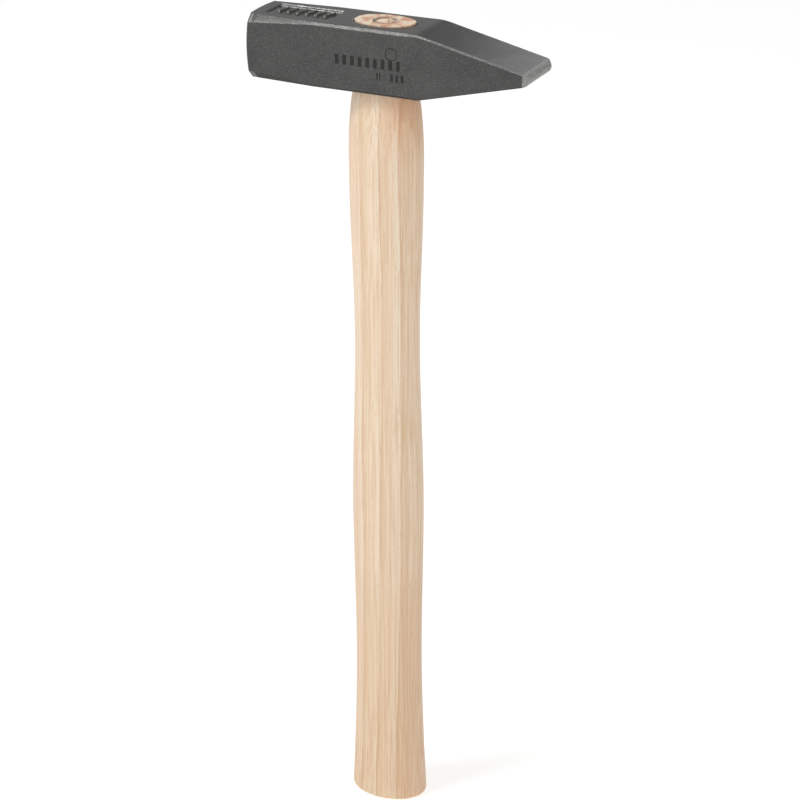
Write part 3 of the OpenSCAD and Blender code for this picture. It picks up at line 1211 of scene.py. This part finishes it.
    def eye_rings(self, border: np.ndarray, under: np.ndarray) -> tuple[np.ndarray, np.ndarray]:
        """The surface that joins the top's border to the bottom's through the eye.

        A border point's angle, with both half lengths scaled to one, gives its angle on the
        oval. Rows run straight in from the border, over a quarter round rim, down the wall,
        whose half sizes grow with the square of the height, and out again below.

        Args:
            border: points of the top's border, in order.
            under: points of the bottom's border, in the same order.

        Returns:
            Points of the rows between the borders, and their edge values.
        """
        reach_x, reach_y = np.abs(border[:, 0]).max(), np.abs(border[:, 1]).max()
        turn = np.arctan2(border[:, 1] / reach_y, border[:, 0] / reach_x)
        rim = self.eye_rim_r

        def half(t: float) -> tuple[float, float]:
            """Half sizes of the eye at t, from -1 at the bottom to 1 at the top."""
            grow = self.eye_flare * t * t
            return (self.eye_l + grow) / 2, (self.eye_w + grow) / 2

        def mouth(edge_points: np.ndarray, side: int) -> tuple[list[np.ndarray], list[float]]:
            """Rows from one border over the rim.

            Args:
                edge_points: points of the border.
                side: 1 on top, -1 below.

            Returns:
                The rows and the edge value of each.
            """
            hx, hy = half(1)
            rows, values = [], []
            wide = oval(turn, hx + rim, hy + rim)
            for s in (0.25, 0.5, 0.75, 0.9):
                flat = edge_points.copy()
                flat[:, :2] = mix(edge_points[:, :2], wide, s)
                rows.append(flat)
                values.append(0.0)
            for a in np.linspace(0, pi / 2, 5):
                spread = rim * (1 - sin(a))
                ring = oval(turn, hx + spread, hy + spread)
                z = self.middle_z + side * (self.half_h - rim * (1 - cos(a)))
                rows.append(np.concatenate([ring, np.full((len(turn), 1), z)], 1))
                values.append(0.8)
            return rows, values

        top_rows, top_values = mouth(border, 1)
        low_rows, low_values = mouth(under, -1)
        wall = []
        for t in np.linspace(0.95, -0.95, 13):
            hx, hy = half(t)
            z = self.middle_z + t * self.half_h
            wall.append(np.concatenate([oval(turn, hx, hy), np.full((len(turn), 1), z)], 1))
        values = top_values + [0.0] * len(wall) + low_values[::-1]
        rows = np.array(top_rows + wall + low_rows[::-1])
        return rows, np.repeat(np.array(values)[:, None], len(turn), 1)

    def build(self) -> bpy.types.Object:
        """Builds the head's mesh from the outside grid and the eye, and dresses it.

        Returns:
            The finished piece.
        """
        points, edge, ground = self.skin()
        rows, columns = edge.shape
        index = np.arange(rows * columns).reshape(rows, columns)
        x = points[:, 0, 0]
        level = np.arange(rows) >= rows - len(self.stations())
        inside = np.flatnonzero(level & (np.abs(x) <= self.eye_block + 1e-6))
        first, last = inside[0], inside[-1]
        quads = grid_quads(index).reshape(rows - 1, columns, 4)
        keep = np.ones((rows - 1, columns), bool)
        for span in (self.top_columns, self.bottom_columns):
            keep[np.ix_(np.arange(first, last), span[:-1] % columns)] = False

        def border(span: np.ndarray) -> np.ndarray:
            """Vertex numbers round a stretch of columns between the two end rows."""
            block = index[first : last + 1][:, span % columns]
            return np.concatenate([block[:-1, 0], block[-1, :-1], block[:0:-1, -1], block[0, :0:-1]])

        top, under = border(self.top_columns), border(self.bottom_columns[::-1])
        flat = points.reshape(-1, 3)
        eye, eye_edge = self.eye_rings(flat[top], flat[under])
        start = rows * columns
        inner = start + np.arange(eye.shape[0] * eye.shape[1]).reshape(eye.shape[:2])
        ring_index = np.concatenate([top[None], inner, under[None]])
        eye_quads = grid_quads(ring_index)[:, ::-1]
        values = {
            "edge": np.concatenate([edge.ravel(), eye_edge.ravel()]),
            "ground": np.concatenate([ground.ravel(), np.full(eye_edge.size, -1.0)]),
        }
        piece = make_piece(
            "forged_head",
            np.concatenate([flat, eye.reshape(-1, 3)]),
            [quads[keep], eye_quads, index[0], index[-1][::-1]],
            values,
            32.0,
        )
        piece.data.materials.append(self.finish.build("head_lacquer", self.middle_z, -self.half_w))
        return settle(piece, "hammer_head")


# ---------------------------------------------------------------------------
# the handle
# ---------------------------------------------------------------------------


@dataclass
class AshHandle:
    """The oval handle: flared butt, swelling grip, neck, and the tenon that fills the eye."""

    overall_h: float = 300.0
    swell_w: float = 27.0
    waist_w: float = 24.1
    grip_w: float = 26.9
    tail_w: float = 25.4
    butt_w: float = 29.2
    thickness_share: float = 0.74
    butt_round: float = 1.6
    tail_at: float = 0.215
    grip_at: float = 0.433
    waist_at: float = 0.67
    swell_at: float = 0.89
    flare_power: float = 1.7
    neck_power: float = 2.5
    mouth_l: float = 22.4
    mouth_w: float = 14.2
    flare: float = 1.0
    side_gap: float = 0.05
    end_gap: float = 0.5
    shoulder: float = 0.2
    wood_round: float = 0.4
    kerf_outer: float = 4.42
    kerf_inner: float = 3.28
    kerf_depth: float = 9.0
    split_half: float = 0.17
    second_half: float = 0.3
    cut_depth: float = 0.55
    core_press: float = 0.12
    grip_rows: int = 230
    sides: int = 160
    finish: Ash = field(default_factory=Ash)

    def __post_init__(self) -> None:
        """Reads where the head stands from its plain solid's box."""
        low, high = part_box("hammer_head")
        self.head_bottom, self.head_top = low.z / MM, high.z / MM
        self.neck_w = self.mouth_l - 2 * self.side_gap + 2 * self.shoulder
        self.neck_t = self.mouth_w - 2 * self.side_gap + 2 * self.shoulder

    def width(self, s: np.ndarray) -> np.ndarray:
        """Width along X at a share s of the height below the head.

        A power curve flares to the butt, smooth steps lead from tail to grip to waist to
        swell, and a power curve draws in to the neck.

        Args:
            s: shares of the height, 0 at the butt and 1 under the head.

        Returns:
            The widths.
        """
        flare = np.clip(1 - s / self.tail_at, 0, 1) ** self.flare_power
        marks = (
            (self.tail_at, self.grip_at, self.tail_w, self.grip_w),
            (self.grip_at, self.waist_at, self.grip_w, self.waist_w),
            (self.waist_at, self.swell_at, self.waist_w, self.swell_w),
        )
        result = mix(self.tail_w, self.butt_w, flare)
        for start, end, w0, w1 in marks:
            result = np.where(s >= start, mix(w0, w1, ease((s - start) / (end - start))), result)
        return np.where(s >= self.swell_at, mix(self.swell_w, self.neck_w, self.draw(s)), result)

    def draw(self, s: np.ndarray) -> np.ndarray:
        """How far the neck has drawn in: a power of the share of the way past the swell."""
        return np.clip((s - self.swell_at) / (1 - self.swell_at), 0, 1) ** self.neck_power

    def thickness(self, s: np.ndarray) -> np.ndarray:
        """Thickness across Y: a share of the width, drawn in to the eye's width at the neck."""
        neck = mix(self.swell_w * self.thickness_share, self.neck_t, self.draw(s))
        return np.where(s >= self.swell_at, neck, self.width(s) * self.thickness_share)

    def rows(self, turn: np.ndarray) -> tuple[np.ndarray, np.ndarray]:
        """All rows of the handle's skin, from the middle of the butt to the middle of the top.

        Args:
            turn: angles of the columns.

        Returns:
            Points, rows by columns by 3, and how much of a dark gap each one lies in.
        """
        rows: list[np.ndarray] = []

        def add(half_x: Any, half_y: Any, z: Any, square: float = SQUARE_ENDS, shrink: float = 1.0) -> None:
            """Adds one oval row."""
            ring = oval(turn, half_x, half_y, square) * shrink
            rows.append(np.concatenate([ring, np.full((len(turn), 1), float(z))], 1))

        # butt: flat middle, rounded edge
        bx, by = self.width(np.zeros(1))[0] / 2, self.thickness(np.zeros(1))[0] / 2
        for s in (0.06, 0.3, 0.55, 0.8, 0.95):
            add(bx - self.butt_round, by - self.butt_round, 0, 1, s)
        for a in np.linspace(0, pi / 2, 9):
            z = self.butt_round * (1 - cos(a))
            s = np.array([z / self.head_bottom])
            inset = self.butt_round * (1 - sin(a))
            add(self.width(s)[0] / 2 - inset, self.thickness(s)[0] / 2 - inset, z, 1)
        # the grip
        for z in np.linspace(self.butt_round, self.head_bottom, self.grip_rows + 1)[1:]:
            s = np.array([z / self.head_bottom])
            square = mix(1, SQUARE_ENDS, float(np.clip((s[0] - self.swell_at) / (1 - self.swell_at), 0, 1)))
            add(self.width(s)[0] / 2, self.thickness(s)[0] / 2, z, square)
        # the tenon
        for j in np.linspace(0, 1, 15):
            t = mix(-1, 1, j)
            gap = mix(self.side_gap, self.end_gap, float(ease(j)))
            grow = self.flare * (t * t - 1)
            add(
                (self.mouth_l + grow) / 2 - gap,
                (self.mouth_w + grow) / 2 - self.side_gap,
                mix(self.head_bottom, self.head_top, j),
            )
        end_x, end_y = self.mouth_l / 2 - self.end_gap, self.mouth_w / 2 - self.side_gap
        for a in np.linspace(0.0, pi / 2, 6):
            inset = self.wood_round * (1 - cos(a)) * 0.6
            add(end_x - inset, end_y - inset, self.overall_h - self.wood_round * (1 - sin(a)))
        edge = rows[-1][:, :2]
        # the end, level in to the kerf, which the ring fills
        circle = np.stack([np.cos(turn), np.sin(turn)], -1)

        def flat(points: np.ndarray, z: Any) -> None:
            """Adds a row of given x and y."""
            rows.append(np.concatenate([points, np.broadcast_to(z, (len(turn),))[:, None]], 1))

        first_end = len(rows) - 1
        for s in np.linspace(0, 1, 13)[1:]:
            flat(mix(edge, circle * self.kerf_outer, s), self.overall_h)
        for s in (0.03, 0.3, 1.0):
            flat(circle * (self.kerf_outer - 0.38 * s), self.overall_h - self.kerf_depth * s)
        for s in (1.0, 0.3, 0.03, 0.0):
            flat(circle * (self.kerf_inner + 0.4 * s), self.overall_h - self.kerf_depth * s)
        for r in np.linspace(self.kerf_inner, 0.15, 26)[1:]:
            flat(circle * r, self.overall_h)
        points = np.array(rows)
        gap = np.zeros(points.shape[:2])
        top = points[first_end:]
        level = top[..., 2] > self.overall_h - 0.05
        drop, dark = self.end_relief(top[..., 0], top[..., 1])
        points[first_end:, :, 2] -= np.where(level, drop, 0)
        gap[first_end:] = np.where(level, dark, 0)
        return points, gap

    def end_relief(self, x: np.ndarray, y: np.ndarray) -> tuple[np.ndarray, np.ndarray]:
        """How far the struck end of the wood lies below its highest points.

        Fine waves everywhere, a split across the core along a wavering line, a second
        shorter one, a gap along the ring, and the core pressed in beside them. Each split
        is a bell curve of the distance to its line, faded out beyond its ends, and the gap
        is one of the distance to the ring, widest and darkest at two places round it; its darkness is painted
        shade.

        Args:
            x: first coordinate of the points.
            y: second coordinate of the points.

        Returns:
            The drop, and how dark the gap is there.
        """
        r = np.hypot(x, y)
        core = r < self.kerf_outer
        rough = 0.035 * (1 + ripple(x, y, 1.1, 0.7)) + 0.03 * (1 + ripple(x, y, 3.7, 2.1))
        line = x - 1.25 + 0.48 * y + 0.16 * np.sin(3.1 * y)
        split = np.exp(-((line / self.split_half) ** 2)) * ease((self.kerf_inner + 0.6 - r) / 0.8)
        bend = y - 0.5 + 0.55 * np.sin(2.4 * x) - 0.25 * x
        ends = ease((x - 1.1) / 0.5) * ease((self.kerf_inner + 0.4 - r) / 0.7)
        second = np.exp(-((bend / self.second_half) ** 2)) * ends
        turn = np.degrees(np.arctan2(y, x)) % 360
        round_left = np.exp(-(((turn - 199) / 34) ** 2))
        round_right = np.exp(-(((turn - 42) / 40) ** 2))
        # the gap along the ring: painted shade, darkest at two places round it
        rim = np.exp(-(((r - self.kerf_inner + 0.15) / (0.2 + 0.3 * round_left)) ** 2))
        rim = rim * (0.3 + 0.7 * np.maximum(round_left, round_right))
        cut = np.maximum(np.maximum(split, second), rim) * core
        drop = rough + self.cut_depth * cut + self.core_press * core
        return drop, np.clip(cut * 1.1, 0, 1)

    def build(self) -> bpy.types.Object:
        """Builds the handle's mesh and dresses it.

        Returns:
            The finished piece.
        """
        turn = 2 * pi * np.arange(self.sides) / self.sides
        points, gap = self.rows(turn)
        index = np.arange(gap.size).reshape(gap.shape)
        faces = [grid_quads(index)[:, ::-1], index[0][::-1], index[-1]]
        piece = make_piece("ash_handle", points.reshape(-1, 3), faces, {"gap": gap.ravel()}, 50.0)
        piece.data.materials.append(self.finish.build("ash_wood", self.overall_h))
        return settle(piece, "handle")


# ---------------------------------------------------------------------------
# the ring wedge
# ---------------------------------------------------------------------------


@dataclass
class RingWedge:
    """The round steel wedge driven into the end of the wood."""

    wall: float = 1.1
    tip_wall: float = 0.3
    taper: float = 0.4
    lip: float = 0.22
    struck_depth: float = 0.1
    sides: int = 128
    finish: DullSteel = field(default_factory=DullSteel)

    def build(self) -> bpy.types.Object:
        """Turns the wedge's closed profile about its axis.

        The profile runs down the outside from the rounded lip to the tip and back up the
        inside; each of its points becomes a circle.

        Returns:
            The finished piece.
        """
        low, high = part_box("ring_wedge")
        outer, top, bottom = high.x / MM, high.z / MM, low.z / MM
        inner, lip = outer - self.wall, self.lip
        arc = np.linspace(0, pi / 2, 6)
        right = np.stack([outer - lip + lip * np.sin(arc), top - lip + lip * np.cos(arc)], -1)
        fall, climb = np.array([0.1, 0.3, 0.6, 1.0]), np.array([0.0, 0.4, 0.7, 0.9])
        down = np.stack([mix(outer, outer - self.taper, fall), mix(top - lip, bottom, fall)], -1)
        tip = outer - self.taper - self.tip_wall
        up = np.stack([mix(tip, inner, climb), mix(bottom, top - lip, climb)], -1)
        left = np.stack([inner + lip - lip * np.cos(arc), top - lip + lip * np.sin(arc)], -1)
        profile = np.concatenate([right, down, up, left])
        turn = 2 * pi * np.arange(self.sides) / self.sides
        r, z = profile[:, :1], profile[:, 1:]
        points = np.stack([r * np.cos(turn), r * np.sin(turn), z + 0 * turn], -1)
        struck = self.struck_depth / 2 * (1 + ripple(points[..., 0], points[..., 1], 1.6, 4.0))
        points[..., 2] -= struck * (z > top - lip)
        index = np.arange(points.shape[0] * self.sides).reshape(points.shape[:2])
        loop = np.concatenate([index, index[:1]])
        piece = make_piece("ring_wedge_steel", points.reshape(-1, 3), [grid_quads(loop)], {}, 45.0)
        piece.data.materials.append(self.finish.build("wedge_steel", top))
        return settle(piece, "ring_wedge")


# ---------------------------------------------------------------------------
# floor, lights and camera
# ---------------------------------------------------------------------------


@dataclass(frozen=True)
class SoftBox:
    """A soft rectangular light: where it stands, what it is aimed at, its size and its power."""

    name: str
    place: Triple
    aim: Triple
    size: tuple[float, float]
    power: float
    tint: Triple = (1.0, 1.0, 1.0)

    def build(self) -> None:
        """Sets the light up."""
        lamp = bpy.data.lights.new(self.name, "AREA")
        lamp.shape = "RECTANGLE"
        lamp.size, lamp.size_y = self.size
        lamp.energy = self.power
        lamp.color = self.tint
        holder = bpy.data.objects.new(self.name, lamp)
        turn = (Vector(self.place) - Vector(self.aim)).to_track_quat("Z", "Y")
        holder.matrix_world = Matrix.Translation(self.place) @ turn.to_matrix().to_4x4()
        bpy.context.scene.collection.objects.link(holder)


@dataclass
class Studio:
    """A plain white floor, soft lights and the camera."""

    floor_half: float = 30.0
    floor_tone: Triple = (0.60, 0.60, 0.60)
    floor_glow: float = 0.62
    sky: Triple = (1.0, 1.0, 1.0)
    sky_power: float = 0.46
    azimuth: float = 25.569
    elevation: float = 23.605
    distance: float = 0.91609
    roll: float = -0.220
    aim: Triple = (0.004863, 0.0, 0.161508)
    sensor: float = 36.0
    lens: float = 115.478
    boxes: tuple[SoftBox, ...] = (
        SoftBox("key", (-0.71, -0.74, 1.76), (0, 0, 0.25), (0.6, 0.6), 15.0),
        SoftBox("back", (0.03, 0.7, 0.70), (0.04, 0, 0.29), (0.34, 0.26), 0.6),
        SoftBox("fill", (0.9, -1.5, 0.75), (0, 0, 0.15), (0.8, 0.8), 4.0),
    )

    def floor(self) -> None:
        """A flat matt sheet, nearly white, that glows a little."""
        mesh = bpy.data.meshes.new("floor")
        corners = np.array([(-1, -1, 0), (1, -1, 0), (1, 1, 0), (-1, 1, 0)]) * self.floor_half
        mesh.from_pydata(corners.tolist(), [], [(0, 1, 2, 3)])
        sheet = bpy.data.objects.new("floor", mesh)
        bpy.context.scene.collection.objects.link(sheet)
        coat = Coat("floor_paper")
        coat.dress(Base_Color=self.floor_tone, Roughness=0.9, Specular_IOR_Level=0.1)
        coat.dress(Emission_Color=(1.0, 1.0, 1.0), Emission_Strength=self.floor_glow)
        mesh.materials.append(coat.material)

    def camera(self) -> None:
        """Stands the camera round the hammer at its azimuth and elevation, turned by its roll."""
        az, el, roll = radians(self.azimuth), radians(self.elevation), radians(self.roll)
        back = Vector((sin(az) * cos(el), -cos(az) * cos(el), sin(el)))
        right = (-back).cross(Vector((0, 0, 1))).normalized()
        up = right.cross(-back)
        side = right * cos(roll) + up * sin(roll)
        rise = up * cos(roll) - right * sin(roll)
        lens = bpy.data.cameras.new("camera")
        lens.sensor_width = self.sensor
        lens.lens = self.lens
        lens.clip_start = 0.01
        holder = bpy.data.objects.new("camera", lens)
        turn = Matrix((side, rise, back)).transposed().to_4x4()
        holder.matrix_world = Matrix.Translation(Vector(self.aim) + back * self.distance) @ turn
        bpy.context.scene.collection.objects.link(holder)
        bpy.context.scene.camera = holder

    def build(self) -> None:
        """Sets up floor, sky, lights, camera and plain colour handling."""
        self.floor()
        world = bpy.data.worlds.new("studio")
        world.use_nodes = True
        back = world.node_tree.nodes["Background"]
        back.inputs[0].default_value = (*self.sky, 1.0)
        back.inputs[1].default_value = self.sky_power
        bpy.context.scene.world = world
        for box in self.boxes:
            box.build()
        self.camera()
        view = bpy.context.scene.view_settings
        view.view_transform = "Standard"
        view.look = "None"
        LOG.info("studio: %d lights", len(self.boxes))


def main() -> None:
    """Loads the frame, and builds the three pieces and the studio."""
    logging.basicConfig(level=logging.INFO, format="%(name)s %(message)s")
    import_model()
    HammerHead().build()
    AshHandle().build()
    RingWedge().build()
    Studio().build()
    bpy.context.view_layer.update()


if __name__ == "__main__":
    main()
